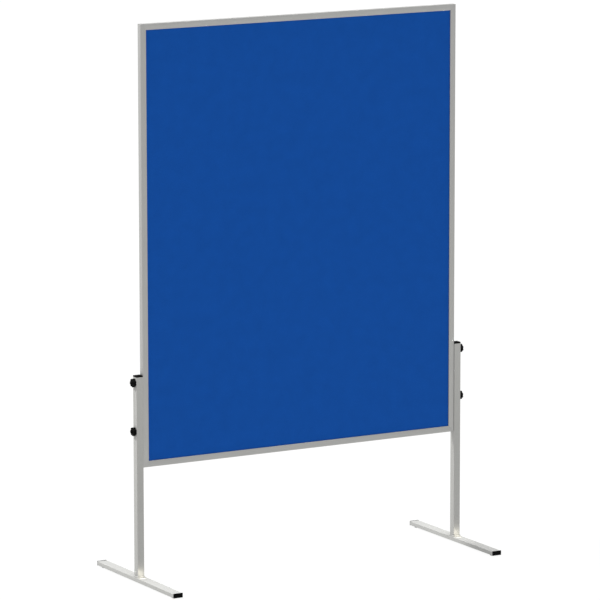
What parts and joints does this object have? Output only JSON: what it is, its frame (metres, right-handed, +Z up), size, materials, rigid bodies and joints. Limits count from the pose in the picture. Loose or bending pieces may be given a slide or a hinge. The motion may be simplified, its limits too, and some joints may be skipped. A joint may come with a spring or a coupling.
{
  "type": "felt pin board on stand",
  "caption": "Free-standing felt pin board in an aluminium frame, clamped by star knobs between two T-foot stands.",
  "frame": {"origin": "on the floor, midway between the two stands and on the board's centre plane", "axes": "+Z up, +X to the right seen from the front, the front face looks along -Y"},
  "size_m": [1.3106, 0.556, 1.897],
  "materials": {
    "anodised_aluminium": "satin anodised extrusion",
    "softboard": "light fibre board",
    "blue_felt": "needled felt",
    "moulded_inner_plastic": "moulded",
    "silver_powder_coat": "satin silver-grey powder coat on steel tube",
    "zinc_plated_steel": "bright zinc plate",
    "grey_glide_plastic": "moulded",
    "black_plastic": "fine moulded texture"
  },
  "bodies": {
    "board_and_stands": {"corner_keys": "moulded_inner_plastic", "felt_front": "blue_felt", "felt_rear": "blue_felt", "frame_bottom_rail": "anodised_aluminium", "frame_left_stile": "anodised_aluminium", "frame_right_stile": "anodised_aluminium", "frame_top_rail": "anodised_aluminium", "left_foot_front_glide": "grey_glide_plastic", "left_foot_front_plug": "black_plastic", "left_foot_rear_glide": "grey_glide_plastic", "left_foot_rear_plug": "black_plastic", "left_foot_tube": "silver_powder_coat", "left_nut_bar": "zinc_plated_steel", "left_post_cap": "black_plastic", "left_post_tube": "silver_powder_coat", "left_weld_seam": "silver_powder_coat", "panel_core": "softboard", "post_spacers": "moulded_inner_plastic", "right_foot_front_glide": "grey_glide_plastic", "right_foot_front_plug": "black_plastic", "right_foot_rear_glide": "grey_glide_plastic", "right_foot_rear_plug": "black_plastic", "right_foot_tube": "silver_powder_coat", "right_nut_bar": "zinc_plated_steel", "right_post_cap": "black_plastic", "right_post_tube": "silver_powder_coat", "right_weld_seam": "silver_powder_coat"},
    "left_lower_washer_body": {"left_lower_washer": "zinc_plated_steel"},
    "left_lower_knob_body": {"left_lower_knob": "black_plastic", "left_lower_stud": "zinc_plated_steel"},
    "left_upper_washer_body": {"left_upper_washer": "zinc_plated_steel"},
    "left_upper_knob_body": {"left_upper_knob": "black_plastic", "left_upper_stud": "zinc_plated_steel"},
    "right_lower_washer_body": {"right_lower_washer": "zinc_plated_steel"},
    "right_lower_knob_body": {"right_lower_knob": "black_plastic", "right_lower_stud": "zinc_plated_steel"},
    "right_upper_washer_body": {"right_upper_washer": "zinc_plated_steel"},
    "right_upper_knob_body": {"right_upper_knob": "black_plastic", "right_upper_stud": "zinc_plated_steel"}
  },
  "joints": [
    {"name": "left_lower_knob_travel", "type": "slide", "parent": "board_and_stands", "child": "left_lower_washer_body", "axis": [-1, 0, 0], "range_m": [0, 0.006]},
    {"name": "left_lower_knob_turn", "type": "hinge", "parent": "left_lower_washer_body", "child": "left_lower_knob_body", "pos_m": [-0.6393, 0, 0.522], "axis": [-1, 0, 0], "range_deg": [0, 2160]},
    {"name": "left_upper_knob_travel", "type": "slide", "parent": "board_and_stands", "child": "left_upper_washer_body", "axis": [-1, 0, 0], "range_m": [0, 0.006]},
    {"name": "left_upper_knob_turn", "type": "hinge", "parent": "left_upper_washer_body", "child": "left_upper_knob_body", "pos_m": [-0.6393, 0, 0.689], "axis": [-1, 0, 0], "range_deg": [0, 2160]},
    {"name": "right_lower_knob_travel", "type": "slide", "parent": "board_and_stands", "child": "right_lower_washer_body", "axis": [1, 0, 0], "range_m": [0, 0.006]},
    {"name": "right_lower_knob_turn", "type": "hinge", "parent": "right_lower_washer_body", "child": "right_lower_knob_body", "pos_m": [0.6393, 0, 0.522], "axis": [1, 0, 0], "range_deg": [0, 2160]},
    {"name": "right_upper_knob_travel", "type": "slide", "parent": "board_and_stands", "child": "right_upper_washer_body", "axis": [1, 0, 0], "range_m": [0, 0.006]},
    {"name": "right_upper_knob_turn", "type": "hinge", "parent": "right_upper_washer_body", "child": "right_upper_knob_body", "pos_m": [0.6393, 0, 0.689], "axis": [1, 0, 0], "range_deg": [0, 2160]}
  ],
  "couplings": [
    {"joint": "left_lower_knob_turn", "follows": "left_lower_knob_travel", "rad_per_m": 6283.2},
    {"joint": "left_upper_knob_turn", "follows": "left_upper_knob_travel", "rad_per_m": 6283.2},
    {"joint": "right_lower_knob_turn", "follows": "right_lower_knob_travel", "rad_per_m": 6283.2},
    {"joint": "right_upper_knob_turn", "follows": "right_upper_knob_travel", "rad_per_m": 6283.2}
  ]
}
